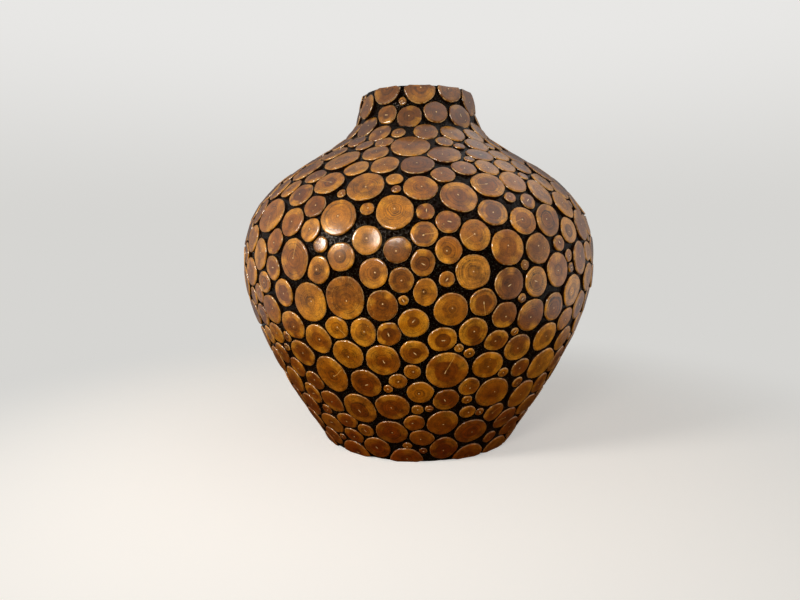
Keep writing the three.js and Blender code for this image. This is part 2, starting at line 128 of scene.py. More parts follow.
# Slices that stand out: degrees to the right of the front, percent of the way from the foot to
# the lip along the outline, width and height
PLACED_SLICES = [
    (-11, 9.6, 34, 35), (10, 12.9, 33, 34), (-22, 16.2, 35, 41), (-9, 17.5, 35, 37),
    (43, 18.5, 37, 37), (10, 19.7, 27, 28), (27, 20.6, 37, 38), (1, 21.9, 26, 28),
    (-17, 23.7, 33, 35), (-29, 25.2, 37, 45), (46, 26.0, 41, 39), (9, 27.5, 42, 42),
    (22, 28.2, 33, 31), (-39, 29.6, 35, 31), (-10, 29.9, 34, 35), (-21, 30.7, 33, 33),
    (31, 31.8, 31, 30), (-1, 31.9, 27, 26), (42, 33.2, 33, 33), (-30, 33.8, 31, 32),
    (7, 34.8, 28, 26), (-15, 36.2, 25, 31), (-39, 36.2, 32, 31), (-1, 38.3, 28, 30),
    (33, 38.9, 34, 33), (-48, 39.1, 30, 33), (-30, 41.8, 37, 40), (-9, 41.7, 29, 31),
    (-19, 42.9, 39, 42), (50, 43.1, 36, 34), (-40, 43.2, 28, 29), (2, 44.5, 22, 26),
    (-4, 46.7, 23, 24), (-11, 47.9, 27, 28), (14, 48.2, 33, 32), (-35, 50.2, 37, 41),
    (-20, 50.9, 28, 27), (-52, 50.7, 30, 33), (24, 52.6, 34, 34), (34, 52.2, 30, 30),
    (-5, 52.3, 26, 24), (8, 52.3, 25, 25), (-13, 54.1, 28, 27), (2, 55.2, 25, 24),
    (15, 55.0, 30, 29), (49, 55.7, 31, 27), (-38, 57.8, 29, 31), (-22, 58.6, 37, 36),
    (21, 59.5, 31, 27), (-50, 59.3, 43, 39), (-6, 59.7, 35, 35), (12, 63.1, 36, 36),
    (1, 65.4, 33, 31), (-16, 65.9, 36, 40), (23, 66.4, 34, 33), (33, 67.5, 29, 30),
    (0, 72.9, 33, 34), (-51, 73.0, 40, 38), (-34, 76.1, 38, 42), (12, 77.4, 34, 34),
    (-27, 87.9, 25, 29), (25, 87.6, 27, 30), (6, 88.1, 26, 28),
    (95, 30, 40, 37), (140, 52, 42, 38), (178, 24, 38, 42), (-150, 60, 37, 40), (-105, 44, 42, 39),
]

# Fineness of the meshes, and courses that the common slices are parted into
COMMON_CORNERS = 24
OWN_CORNERS = 56
BANDS = 14
BED_SIDES = 400
BED_ROWS = 205
BED_BACK_ROWS = 40
VESSEL_SIDES = 144
VESSEL_ROWS = 90

# Slices' meshes: share of the way out of the innermost ring, and in millimetres how close
# corners are merged and how far below the face a surface counts as bevel or side
MIDDLE_SHARE = 0.04
MERGE_WITHIN = 0.01
BEVEL_BELOW = 0.05

# Width and height of the resin's lumps in millimetres, as form and in its finish, and its grit
BED_LUMPS = ((7.0, 0.7), (2.5, 0.2))
LUMP_SIZE = 2.4
LUMP_RELIEF = 0.55
GRIT_SIZE = 1.1

# Inner floor of the vessel: its width as a share of the wall's above it, and how many
# millimetres above it the wall ends
FLOOR_WIDTH = 0.985
FLOOR_CLEARANCE = 1.0

# Grain of the slices, as size in millimetres and detail: bends of the rings, blotches, remains
# of bark, flecks, coarse pores, edge of the pith, and pores
SLICE_PATTERNS = ((14.0, 2.0), (7.0, 3.0), (4.0, 2.0), (3.0, 3.0), (1.3, 2.0), (0.9, 1.0), (0.6, 2.0))

# Sectors and fibres, as fineness round the pith, size and detail
SPOKE_PATTERNS = ((1.0, 1.2, 0.0), (40.0, 1.1, 3.0))

# How far apart the slices lie in a pattern, where a knot lies as shares of the half width, and
# the heights in metres over which the wood turns darker and redder towards the foot as painted
# shade, and its lacquer and pale rim line fade
PATTERN_APART = 37.3
KNOT_PLACE = (0.42, 0.3, 0.0)
FOOT_FADE = (0.2, -0.03)


# Outline of the skin, as arrays of stations from the foot to the lip

def stretch(start, start_lean, pull, end, end_lean):
    """Points and directions along a curve that leaves its start and reaches its end at a lean."""
    def direction(lean):
        return np.array([math.sin(math.radians(lean)), math.cos(math.radians(lean))])

    span = math.dist(start, end)
    leave = start + pull[0] * span * direction(start_lean)
    arrive = end - pull[1] * span * direction(end_lean)
    t = (np.arange(OUTLINE_STEPS + 1) / OUTLINE_STEPS)[:, None]
    u = 1 - t
    point = u**3 * start + 3 * u * u * t * leave + 3 * u * t * t * arrive + t**3 * end
    along = u * u * (leave - start) + 2 * u * t * (arrive - leave) + t * t * (end - arrive)
    return point, along / np.linalg.norm(along, axis=1)[:, None]


def trace_outline():
    """Radius, height and direction at each station, and the length and area up to there.

    The length is also given in radii, as v: a step in v and the same angle round are equally long.
    """
    foot = np.array([FOOT_RADIUS, 0.0])
    belly = np.array([BELLY_RADIUS, BELLY_HEIGHT])
    shoulder = np.array([SHOULDER_RADIUS, VASE_HEIGHT - SHOULDER_BELOW_LIP])
    lip = np.array([LIP_RADIUS, VASE_HEIGHT])
    stretches = [
        stretch(foot, FOOT_LEAN, LOWER_PULL, belly, 0),
        stretch(belly, 0, UPPER_PULL, shoulder, SHOULDER_LEAN),
        stretch(shoulder, SHOULDER_LEAN, NECK_PULL, lip, LIP_LEAN),
    ]
    point = np.vstack([p if i == 0 else p[1:] for i, (p, _) in enumerate(stretches)])
    along = np.vstack([a if i == 0 else a[1:] for i, (_, a) in enumerate(stretches)])
    length = np.linalg.norm(np.diff(point, axis=0), axis=1)
    middle = (point[1:, 0] + point[:-1, 0]) / 2

    def summed(steps):
        return np.concatenate([[0.0], np.cumsum(steps)])

    return {
        "r": point[:, 0], "z": point[:, 1], "along_r": along[:, 0], "along_z": along[:, 1],
        "s": summed(length), "v": summed(length / middle), "area": summed(TURN * middle * length),
    }


OUTLINE = trace_outline()
LENGTH = OUTLINE["s"][-1]
TOP_V = OUTLINE["v"][-1]
AREA = OUTLINE["area"][-1]


def station(key, value, *names):
    """Named values of the outline at the place where its key has a value."""
    return [np.interp(value, OUTLINE[key], OUTLINE[name]) for name in names]


def skin(phi, v, level):
    """Points at a level over the skin in millimetres, and their direction outwards."""
    r, z, along_r, along_z, s = station("v", v, "r", "z", "along_r", "along_z", "s")

    # Near both ends the direction outwards turns level, so that the foot and the lip stay flat
    foot_slope = OUTLINE["along_r"][0] / OUTLINE["along_z"][0]
    lip_slope = OUTLINE["along_r"][-1] / OUTLINE["along_z"][-1]
    lean = foot_slope * np.maximum(0, 1 - s / END_BLEND) ** 2
    lean = lean + lip_slope * np.maximum(0, 1 - (LENGTH - s) / END_BLEND) ** 2
    out_r = along_z + lean * along_r
    out_z = -along_r + lean * along_z
    out = np.stack([out_r * np.cos(phi), out_r * np.sin(phi), out_z + 0 * phi], axis=-1)
    base = np.stack([r * np.cos(phi), r * np.sin(phi), z + 0 * phi], axis=-1)
    return base + np.asarray(level)[..., None] * out, out


# Layout of the slices on the skin

class Draw:
    """Random numbers from 0 to 1, the same in every run.

    Seeds that are close begin alike, so a few first numbers can be dropped.
    """

    def __init__(self, seed, dropped=0):
        self.state = seed
        for _ in range(dropped):
            self()

    def __call__(self, low=0.0, high=1.0):
        self.state = self.state * 48271 % 2147483647
        return low + (high - low) * self.state / 2147483647


class Layout:
    """Centres, half widths and directions of the slices, as arrays."""

    def __init__(self):
        self.phi, self.s, self.a, self.b, self.tilt, self.placed, self.drawn = (
            np.zeros(0) for _ in range(7))
        self.settle()

    def add(self, phi, s, width, height, tilt, placed):
        self.phi = np.append(self.phi, phi)
        self.s = np.append(self.s, s)
        self.a = np.append(self.a, width / 2)
        self.b = np.append(self.b, height / 2)
        self.tilt = np.append(self.tilt, tilt)
        self.placed = np.append(self.placed, float(placed))
        self.drawn = np.append(self.drawn, math.sqrt(width * height) / 2)
        self.settle()

    def take_out(self, index):
        for name in ("phi", "s", "a", "b", "tilt", "placed", "drawn"):
            setattr(self, name, np.delete(getattr(self, name), index))
        self.settle()

    def settle(self):
        self.radius = np.sqrt(self.a * self.b)
        self.centre, self.round, self.up, self.r, self.v = frames_at(self.phi, self.s)


def frames_at(phi, s):
    """Centres, directions round and up the skin, radius and v at places on the outline."""
    r, z, along_r, along_z, v = station("s", s, "r", "z", "along_r", "along_z", "v")
    out = np.stack([np.cos(phi), np.sin(phi), 0 * phi], axis=-1)
    level = np.array([0.0, 0.0, 1.0])
    centre = out * r[:, None] + z[:, None] * level
    across = np.stack([-np.sin(phi), np.cos(phi), 0 * phi], axis=-1)
    up = out * along_r[:, None] + along_z[:, None] * level
    return centre, across, up, r, v


def half_width(a, b, tilt, x, y):
    """Half width of a tilted oval in the direction of x and y."""
    size = np.maximum(np.hypot(x, y), TINY)
    c, d = np.cos(tilt), np.sin(tilt)
    return size / np.maximum(np.hypot((x * c + y * d) / a, (y * c - x * d) / b), TINY)


def spread_common_slices(lay, draw):
    """Common slices, each at the freest of a few random places, until enough is covered."""
    covered = math.pi * np.sum(lay.radius**2)
    while covered < COVERAGE * AREA:
        diameter = COMMON_LEAST + (COMMON_MOST - COMMON_LEAST) * (draw() + draw()) / 2
        oval = math.sqrt(1 + (MOST_OVAL - 1) * draw())
        tilt = math.pi * draw()
        spots = np.array([(draw() * AREA, draw() * TURN) for _ in range(PLACE_TRIES)])
        s = station("area", spots[:, 0], "s")[0]
        centres = frames_at(spots[:, 1], s)[0]
        apart = np.linalg.norm(centres[:, None] - lay.centre[None], axis=2)
        best = int(np.argmax((apart - lay.radius[None]).min(axis=1)))
        lay.add(spots[best, 1], s[best], diameter * oval, diameter / oval, tilt, False)
        covered += math.pi * lay.radius[-1] ** 2


def push_apart(lay, rounds):
    """Slices that overlap give way to each other, and to those with a place of their own."""
    for count in range(rounds):
        if count % ROUNDS_PER_SEARCH == 0:
            apart = np.linalg.norm(lay.centre[:, None] - lay.centre[None], axis=2)
            one, other = np.nonzero(np.triu(apart < PAIR_REACH * COMMON_MOST, 1))
            equal = lay.placed[one] == lay.placed[other]
            share = np.where(equal, 0.5, 1.0 - lay.placed[one])[:, None]
        way = lay.centre[other] - lay.centre[one]
        length = np.linalg.norm(way, axis=1)
        clear = length - FACE_GAP
        for side in (one, other):
            x = np.sum(way * lay.round[side], axis=1)
            y = np.sum(way * lay.up[side], axis=1)
            clear = clear - half_width(lay.a[side], lay.b[side], lay.tilt[side], x, y)
        push = way / length[:, None] * (np.maximum(-clear, 0) * PUSH_SHARE)[:, None]
        moves = np.zeros_like(lay.centre)
        np.add.at(moves, one, -share * push)
        np.add.at(moves, other, (1 - share) * push)
        margin = np.where(lay.placed > 0, lay.b + END_MARGIN, END_MARGIN)
        lay.phi = lay.phi + np.sum(moves * lay.round, axis=1) / lay.r
        lay.s = np.clip(lay.s + np.sum(moves * lay.up, axis=1), margin, LENGTH - margin)
        lay.settle()


def clears(lay):
    """Clear way between each two slices, negative where they overlap."""
    way = lay.centre[None] - lay.centre[:, None]
    x = np.einsum("ijk,ik->ij", way, lay.round)
    y = np.einsum("ijk,ik->ij", way, lay.up)
    reach = half_width(lay.a[:, None], lay.b[:, None], lay.tilt[:, None], x, y)
    clear = np.linalg.norm(way, axis=2) - reach - reach.T - FACE_GAP
    np.fill_diagonal(clear, np.inf)
    return clear


def swell(lay):
    """Common slices grow or shrink until they meet their nearest neighbours on average."""
    mean = np.sort(clears(lay), axis=1)[:, :MET_NEIGHBOURS].mean(axis=1)
    share = np.clip((lay.radius + SWELL_RATE * mean) / lay.drawn, *SWELL_LIMITS)
    share = np.where(lay.placed > 0, 1.0, share * lay.drawn / lay.radius)
    lay.a = lay.a * share
    lay.b = lay.b * share
    lay.settle()


def thin_out(lay):
    """Common slices that stay squeezed between others are taken out."""
    clear = clears(lay)
    for index in range(len(lay.phi) - 1, -1, -1):
        if lay.placed[index] == 0 and clear[index].min() < -CROWDED:
            clear = np.delete(np.delete(clear, index, axis=0), index, axis=1)
            lay.take_out(index)


def fill_holes(lay, draw, tries, least, most):
    """Round slices in the widest holes between the others, the widest first."""
    spots = np.array([(draw() * AREA, draw() * TURN) for _ in range(tries)])
    s = station("area", spots[:, 0], "s")[0]
    phi = spots[:, 1]
    centre = frames_at(phi, s)[0]
    free = np.minimum(s, LENGTH - s)
    for i in range(len(lay.phi)):
        way = centre - lay.centre[i]
        near = np.abs(way[:, 2]) < COMMON_MOST + least
        x = way[near] @ lay.round[i]
        y = way[near] @ lay.up[i]
        reach = half_width(lay.a[i], lay.b[i], lay.tilt[i], x, y)
        clear = np.linalg.norm(way[near], axis=1) - reach - FACE_GAP
        free[near] = np.minimum(free[near], clear)
    while free.max() >= least / 2:
        best = int(np.argmax(free))
        diameter = min(2 * free[best], most)
        lay.add(phi[best], s[best], diameter, diameter, 0.0, False)
        clear = np.linalg.norm(centre - centre[best], axis=1) - diameter / 2 - FACE_GAP
        free = np.minimum(free, clear)


def lay_out_slices():
    draw = Draw(SEED)
    lay = Layout()
    for degrees, percent, width, height in PLACED_SLICES:
        lay.add(FRONT + math.radians(degrees), percent / 100 * LENGTH, width, height, 0.0, True)
    spread_common_slices(lay, draw)
    push_apart(lay, FIRST_ROUNDS)
    for _ in range(SWELLS):
        swell(lay)
        push_apart(lay, ROUNDS_AFTER_SWELL)
    thin_out(lay)
    fill_holes(lay, draw, *WIDE_HOLES)
    fill_holes(lay, draw, *SMALL_HOLES)
    return lay


# Outlines of the slices: an irregular oval, pressed flat where a neighbour is close

def outline_of(lay, index, corners, draw):
    """Corners of a slice's outline in millimetres from its centre."""
    angles = np.arange(corners) / corners * TURN
    x, y = np.cos(angles), np.sin(angles)
    own = half_width(lay.a[index], lay.b[index], lay.tilt[index], x, y)
    for lobes in LOBES:
        own = own * (1 + draw(0.0, LOBE_SIZE) / lobes * np.cos(lobes * (angles - draw(0, TURN))))
    r = lay.r[index]
    turn = lay.phi - lay.phi[index]
    dx = (turn - TURN * np.round(turn / TURN)) * r
    dy = (lay.v - lay.v[index]) * r
    apart = np.hypot(dx, dy)
    near = (apart < NEIGHBOUR_REACH) & (apart > 0)
    dx, dy, apart = dx[near], dy[near], apart[near]

    # The border with a neighbour runs square to the way there, nearer to the smaller slice
    weight = (lay.radius[index] + FACE_GAP / 2) ** 2
    others = ((lay.radius[near] + FACE_GAP / 2) * r / lay.r[near]) ** 2
    limit = (apart**2 + weight - others) / (2 * apart) - FACE_GAP / 2
    facing = (x[:, None] * dx + y[:, None] * dy) / apart
    reach = np.where(facing > FACING_LEAST, limit / np.maximum(facing, FACING_LEAST), FAR_OFF)
    pressed = np.sum(reach**-CORNER_SOFTNESS, axis=1) + own**-CORNER_SOFTNESS
    size = FILL * pressed ** (-1 / CORNER_SOFTNESS)

    # Nothing reaches past the foot or the lip
    below = lay.v[index] * r
    above = (TOP_V - lay.v[index]) * r
    size = np.where(y < 0, np.minimum(size, below / np.maximum(-y, TINY)), size)
    size = np.where(y > 0, np.minimum(size, above / np.maximum(y, TINY)), size)
    return x * size, y * size


def slice_values(lay, index, corners):
    """Corners of a slice's outline in metres, and what modelling and finish need to know there."""
    draw = Draw(SEED + SLICE_SEED_STEP * (index + 1), dropped=4)
    tone = Draw(TONE_SEED + SLICE_SEED_STEP * (index + 1), dropped=1)
    x, y = outline_of(lay, index, corners, draw)
    r = lay.r[index]

    # The face is a little higher or lower than the skin, tilted, and ragged at the edge
    step = draw(-FACE_STEP, FACE_STEP)
    level = step + draw(-FACE_TILT, FACE_TILT) * x + draw(-FACE_TILT, FACE_TILT) * y
    ragged = 1 + np.array([draw(-RAGGED, RAGGED) for _ in range(corners)]) / np.hypot(x, y)
    x, y = ragged * x, ragged * y
    base, out = skin(lay.phi[index] + x / r, lay.v[index] + y / r, 0.0)
    square = np.cross(lay.round[index], lay.up[index])
    centre = lay.centre[index] + step * square
    drop = (lay.centre[index] - base) @ square
    outline = base + level[:, None] * out + drop[:, None] * square

    # The same outline laid flat and turned at random, for the grain
    turn = draw(0, TURN)
    flat_x = x * math.cos(turn) - y * math.sin(turn)
    flat_y = x * math.sin(turn) + y * math.cos(turn)
    flat = np.stack([flat_x, flat_y, 0 * x], axis=-1)
    off = PITH_OFFSET * lay.radius[index]

    def everywhere(*value):
        return np.tile(value, (corners, 1))

    return {
        "centre": everywhere(*(centre * MM)), "out": out * MM, "outline": outline * MM,
        "grain": flat, "flat": flat, "tone": everywhere(tone(), tone(), tone()),
        "pith": everywhere(draw(-off, off), draw(-off, off), 0.0),
        "reach": everywhere(np.mean(np.hypot(x, y))), "number": everywhere(index),
        "way": everywhere(1.0), "level": everywhere(-SLICE_THICKNESS),
    }


def outline_mesh(name, lay, indices, corners):
    """One flat, slightly ragged face for each slice, with its values at the corners."""
    slices = [slice_values(lay, int(index), corners) for index in indices]
    points = np.concatenate([values["outline"] for values in slices])
    faces = np.arange(len(points)).reshape(-1, corners)
    mesh = bpy.data.meshes.new(name)
    mesh.from_pydata(points.tolist(), [], faces.tolist())
    for key in slices[0]:
        data = np.concatenate([values[key] for values in slices]).astype(np.float32)
        kind, field = ("FLOAT_VECTOR", "vector") if data.shape[1] == 3 else ("FLOAT", "value")
        mesh.attributes.new(key, kind, "POINT").data.foreach_set(field, data.ravel())
    return mesh


# Node trees

MATH = "ShaderNodeMath"
VECTOR_MATH = "ShaderNodeVectorMath"
MAP_RANGE = "ShaderNodeMapRange"
MIX = "ShaderNodeMix"
NOISE = "ShaderNodeTexNoise"
ATTRIBUTE = "GeometryNodeInputNamedAttribute"


def add(tree, kind, links=None, **settings):
    """Adds a node with its settings, and links or sets its inputs.

    A node given as a source stands for its first output.
    """
    made = tree.nodes.new(kind)
    for name, value in settings.items():
        setattr(made, name, value)
    for name, source in (links or {}).items():
        target = made.inputs[name]
        if isinstance(source, bpy.types.Node):
            source = source.outputs[0]
        if isinstance(source, bpy.types.NodeSocket):
            tree.links.new(source, target)
        else:
            target.default_value = source
    return made


def named_socket(tree, name, kind, direction="INPUT", value=None):
    socket = tree.interface.new_socket(name=name, in_out=direction, socket_type=kind)
    if value is not None:
        socket.default_value = value
    return socket


def ring_tree():
    """Raises the top faces to the next ring of a slice, at a share of the way out and a level."""
    tree = bpy.data.node_groups.new("slice ring", "GeometryNodeTree")
    named_socket(tree, "Slices", "NodeSocketGeometry")
    named_socket(tree, "Top", "NodeSocketBool", value=True)
    named_socket(tree, "Share", "NodeSocketFloat", value=1.0)
    named_socket(tree, "Level", "NodeSocketFloat", value=0.0)
    named_socket(tree, "Slices", "NodeSocketGeometry", "OUTPUT")
    named_socket(tree, "Top", "NodeSocketBool", "OUTPUT")
    source = add(tree, "NodeGroupInput").outputs
    share, level = source["Share"], source["Level"]
    centre, outline, out, flat = (
        add(tree, ATTRIBUTE, {"Name": name}, data_type="FLOAT_VECTOR")
        for name in ("centre", "outline", "out", "flat"))

    raised = add(tree, "GeometryNodeExtrudeMesh", {
        "Mesh": source["Slices"], "Selection": source["Top"], "Offset Scale": 0.0,
        "Individual": True}, mode="FACES")
    top = raised.outputs["Top"]
    arm = add(tree, VECTOR_MATH, {0: outline, 1: centre}, operation="SUBTRACT")
    arm = add(tree, VECTOR_MATH, {0: arm, "Scale": share}, operation="SCALE")
    lift = add(tree, VECTOR_MATH, {0: out, "Scale": level}, operation="SCALE")
    place = add(tree, VECTOR_MATH, {0: centre, 1: arm}, operation="ADD")
    place = add(tree, VECTOR_MATH, {0: place, 1: lift}, operation="ADD")
    kept = add(tree, "GeometryNodeSetPosition", {
        "Geometry": raised, "Selection": top, "Position": place})

    # The new ring keeps its place in the slice for the finish
    grain = add(tree, VECTOR_MATH, {0: flat, "Scale": share}, operation="SCALE")
    stored = (("way", "FLOAT", share), ("level", "FLOAT", level), ("grain", "FLOAT_VECTOR", grain))
    for name, kind, value in stored:
        kept = add(tree, "GeometryNodeStoreNamedAttribute", {
            "Geometry": kept, "Selection": top, "Name": name, "Value": value},
            data_type=kind, domain="POINT")
    add(tree, "NodeGroupOutput", {"Slices": kept, "Top": top})
    return tree


def slice_tree(finish):
    """Turns flat outlines into thick slices with a smoothly shaded bevel and a flat face."""
    tree = bpy.data.node_groups.new("branch slices", "GeometryNodeTree")
    named_socket(tree, "Outlines", "NodeSocketGeometry")
    named_socket(tree, "Thickness", "NodeSocketFloat", value=SLICE_THICKNESS)
    named_socket(tree, "Edge width", "NodeSocketFloat", value=EDGE_WIDTH)
    named_socket(tree, "Edge drop", "NodeSocketFloat", value=EDGE_DROP)
    named_socket(tree, "Slices", "NodeSocketGeometry", "OUTPUT")
    source = add(tree, "NodeGroupInput").outputs

    # The back of each slice lies its thickness below the outline
    back = add(tree, MATH, {0: source["Thickness"], 1: -1.0}, operation="MULTIPLY")
    out = add(tree, ATTRIBUTE, {"Name": "out"}, data_type="FLOAT_VECTOR")
    sunk = add(tree, VECTOR_MATH, {0: out, "Scale": back}, operation="SCALE")
    laid = add(tree, "GeometryNodeSetPosition", {"Geometry": source["Outlines"], "Offset": sunk})
    flipped = add(tree, "GeometryNodeFlipFaces", {"Mesh": laid})

    # From there, rings at the foot of the bevel, at its head and near the middle of the face
    reach = add(tree, ATTRIBUTE, {"Name": "reach"}, data_type="FLOAT")
    edge = add(tree, MATH, {0: source["Edge width"], 1: reach}, operation="DIVIDE")
    head_share = add(tree, MATH, {0: 1.0, 1: edge}, operation="SUBTRACT")
    foot_level = add(tree, MATH, {0: source["Edge drop"], 1: -1.0}, operation="MULTIPLY")
    ring = ring_tree()
    body, top = laid, True
    for share, level in ((1.0, foot_level), (head_share, 0.0), (MIDDLE_SHARE, 0.0)):
        made = add(tree, "GeometryNodeGroup", {
            "Slices": body, "Top": top, "Share": share, "Level": level}, node_tree=ring).outputs
        body, top = made["Slices"], made["Top"]

    joined = add(tree, "GeometryNodeJoinGeometry")
    for geometry in (flipped.outputs[0], body):
        tree.links.new(geometry, joined.inputs[0])
    merged = add(tree, "GeometryNodeMergeByDistance", {
        "Geometry": joined, "Distance": MERGE_WITHIN * MM})
    level = add(tree, ATTRIBUTE, {"Name": "level"}, data_type="FLOAT")
    side = add(tree, MATH, {0: level, 1: -BEVEL_BELOW}, operation="LESS_THAN")
    smooth = add(tree, "GeometryNodeSetShadeSmooth", {"Geometry": merged, "Shade Smooth": side})
    whole = add(tree, "GeometryNodeRealizeInstances", {"Geometry": smooth})
    covered = add(tree, "GeometryNodeSetMaterial", {"Geometry": whole, "Material": finish})
    add(tree, "NodeGroupOutput", {"Slices": covered})
    return tree


def socket_id(tree, name):
    for item in tree.interface.items_tree:
        if item.name == name and item.in_out == "INPUT":
            return item.identifier
    raise KeyError(name)


def made_by(tree, name, mesh, sizes):
    """A plain mesh object made by a node tree from a starting mesh."""
    start = bpy.data.objects.new(name + "_start", mesh)
    bpy.context.scene.collection.objects.link(start)
    modifier = start.modifiers.new("shape", "NODES")
    modifier.node_group = tree
    for key, value in sizes.items():
        modifier[socket_id(tree, key)] = value
    depsgraph = bpy.context.evaluated_depsgraph_get()
    result = bpy.data.meshes.new_from_object(start.evaluated_get(depsgraph), depsgraph=depsgraph)
    bpy.data.objects.remove(start)
    result.name = name
    piece = bpy.data.objects.new(name, result)
    bpy.context.scene.collection.objects.link(piece)
    return piece


# Finishes

def linear(code):
    """Linear colour of an sRGB hex code."""
    channels = [int(code[i:i + 2], 16) / 255 for i in (1, 3, 5)]
    channels = [c / 12.92 if c <= 0.04045 else ((c + 0.055) / 1.055) ** 2.4 for c in channels]
    return (*channels, 1.0)


def grey(value):
    return (value, value, value, 1.0)


def new_finish(name):
    finish = bpy.data.materials.new(name)
    finish.use_nodes = True
    finish.node_tree.nodes.clear()
    return finish, finish.node_tree


def set_stops(node, *stops):
    """Gives a colour ramp its stops, each a position and a colour."""
    elements = node.color_ramp.elements
    elements.remove(elements[1])
    elements[0].position, elements[0].color = stops[0]
    for position, colour in stops[1:]:
        elements.new(position).color = colour
    return node


def total(tree, start, *parts):
    """A start value and parts added to it, each a value times its weight."""
    for value, weight in parts:
        start = add(tree, MATH, {0: value, 1: weight, 2: start}, operation="MULTIPLY_ADD")
    return start


def faded(tree, share, *fades, course="SMOOTHSTEP"):
    """A share times fades, each over a value from its start to its end.

    A fade goes from 0 to 1, or between the two numbers that it gives after its end.
    """
    for value, start, end, *ends in fades:
        low, high = ends or (0.0, 1.0)
        fade = add(tree, MAP_RANGE, {
            "Value": value, "From Min": start, "From Max": end, "To Min": low, "To Max": high},
            interpolation_type=course)
        share = add(tree, MATH, {0: share, 1: fade}, operation="MULTIPLY")
    return share


def tinted(tree, surface, code, share, *fades):
    """The colour of a surface with a share of another colour, where the fades let it show."""
    return add(tree, MIX, {
        0: faded(tree, share, *fades), 6: surface, 7: linear(code)}, data_type="RGBA").outputs[2]


def lacquered_end_grain():
    """End grain of branch wood, sanded and lacquered: amber sapwood, brown heart, fine rings."""
    finish, tree = new_finish("lacquered_end_grain")
    read = {
        name: add(tree, "ShaderNodeAttribute", attribute_name=name).outputs
        for name in ("way", "level", "reach", "number", "grain", "pith", "tone")}
    way, level, reach, number = (read[name]["Fac"] for name in ("way", "level", "reach", "number"))
    tone = add(tree, "ShaderNodeSeparateXYZ", {0: read["tone"]["Vector"]}).outputs
    chance = add(tree, "ShaderNodeTexWhiteNoise", {"W": number}, noise_dimensions="1D")
    chance = add(tree, "ShaderNodeSeparateColor", {0: chance.outputs["Color"]}).outputs
    place = add(tree, "ShaderNodeTexCoord").outputs["Object"]
    height = add(tree, "ShaderNodeSeparateXYZ", {0: place}).outputs["Z"]

    # A place in the slice in millimetres, with each slice in a part of the pattern of its own,
    # and the direction and distance from the pith
    apart = add(tree, MATH, {0: number, 1: PATTERN_APART}, operation="MULTIPLY")
    shift = add(tree, "ShaderNodeCombineXYZ", {2: apart})
    spot = add(tree, VECTOR_MATH, {0: read["grain"]["Vector"], 1: shift}, operation="ADD")
    from_pith = add(tree, VECTOR_MATH, {
        0: read["grain"]["Vector"], 1: read["pith"]["Vector"]}, operation="SUBTRACT")
    pith_way = add(tree, VECTOR_MATH, {0: from_pith}, operation="LENGTH").outputs["Value"]
    towards = add(tree, VECTOR_MATH, {0: from_pith}, operation="NORMALIZE")

    # Patterns: bends of the rings, blotches, remains of bark, flecks, the edge of the pith, and
    # pores, drawn coarser than real ones so that they show
    bends, blotches, remains, flecks, coarse_pores, pith_edge, pores = (
        add(tree, NOISE, {"Vector": spot, "Scale": 1 / size, "Detail": detail})
        for size, detail in SLICE_PATTERNS)

    # Spokes from the pith: sectors of a third of a turn, and fibres that run outwards
    spokes = []
    for fineness, size, detail in SPOKE_PATTERNS:
        spoke = add(tree, VECTOR_MATH, {0: towards, "Scale": fineness}, operation="SCALE")
        spoke = add(tree, VECTOR_MATH, {0: spoke, 1: shift}, operation="ADD")
        spokes.append(add(tree, NOISE, {"Vector": spoke, "Scale": 1 / size, "Detail": detail}))
    sectors, fibres = spokes

    # Rings follow the outline near the edge and the pith near the middle, and bend
    own_way = add(tree, MATH, {0: pith_way, 1: reach}, operation="DIVIDE")
    radial = add(tree, MIX, {0: way, 2: own_way, 3: way}, data_type="FLOAT")
    radial = total(tree, -0.145, (radial, 1.0), (bends, 0.24), (blotches, 0.05))

    # Rings of 2 to 4.2 mm, coarser than real ones so that they show, wider in some years, each of
    # a strength of its own, with a pale line after the dark one near the middle
    far = add(tree, MATH, {0: radial, 1: reach}, operation="MULTIPLY")
    wander = add(tree, NOISE, {
        "W": total(tree, 0.0, (far, 0.25), (number, 11.7)), "Scale": 1.0, "Detail": 1.0},
        noise_dimensions="1D")
    ring_width = total(tree, 2.0, (tone[1], 2.2))
    count = add(tree, MATH, {0: far, 1: ring_width}, operation="DIVIDE")
    count = total(tree, count, (wander, 2.0))
    year = add(tree, MATH, {0: count}, operation="FRACT")
    which = add(tree, MATH, {0: count}, operation="FLOOR")
    strength = add(tree, "ShaderNodeTexWhiteNoise", {
        "W": total(tree, which, (number, 7.13))}, noise_dimensions="1D").outputs["Value"]
    strength = faded(
        tree, total(tree, 0.2, (strength, 0.8)),
        (bends, 0.36, 0.5, 0.45, 1.0), (chance[0], 0.0, 0.7, 0.5, 1.0))
    dark_ring = faded(tree, strength, (year, 0.58, 0.84), (year, 0.98, 0.9), (way, 0.95, 0.6, 0.5, 1.0))
    pale_ring = faded(tree, strength, (year, 0.0, 0.08), (year, 0.34, 0.2), (way, 0.75, 0.4))

    # Sapwood from brown to golden, by slice
    sapwood = set_stops(
        add(tree, "ShaderNodeValToRGB", {0: tone[0]}),
        (0.0, linear("#743e02")), (0.35, linear("#935204")),
        (0.75, linear("#ab6806")), (1.0, linear("#c6811a")))

    # Heart: a darker disc of a third to two thirds of the width, sharp in some slices
    border = total(tree, 0.36, (tone[1], 0.3), (radial, -1.0))
    soft = add(tree, MATH, {0: chance[1], 1: chance[1]}, operation="MULTIPLY")
    soft = total(tree, 0.04, (soft, 0.2))
    softer = add(tree, MATH, {0: soft, 1: -0.4}, operation="MULTIPLY")
    heart = faded(tree, 1.0, (border, softer, soft))
    depth = add(tree, MATH, {0: tone[2], 1: 1.2}, operation="POWER")
    depth = add(tree, MATH, {0: heart, 1: total(tree, 0.06, (depth, 0.8))}, operation="MULTIPLY")
    wood = tinted(tree, sapwood, "#633002", depth)

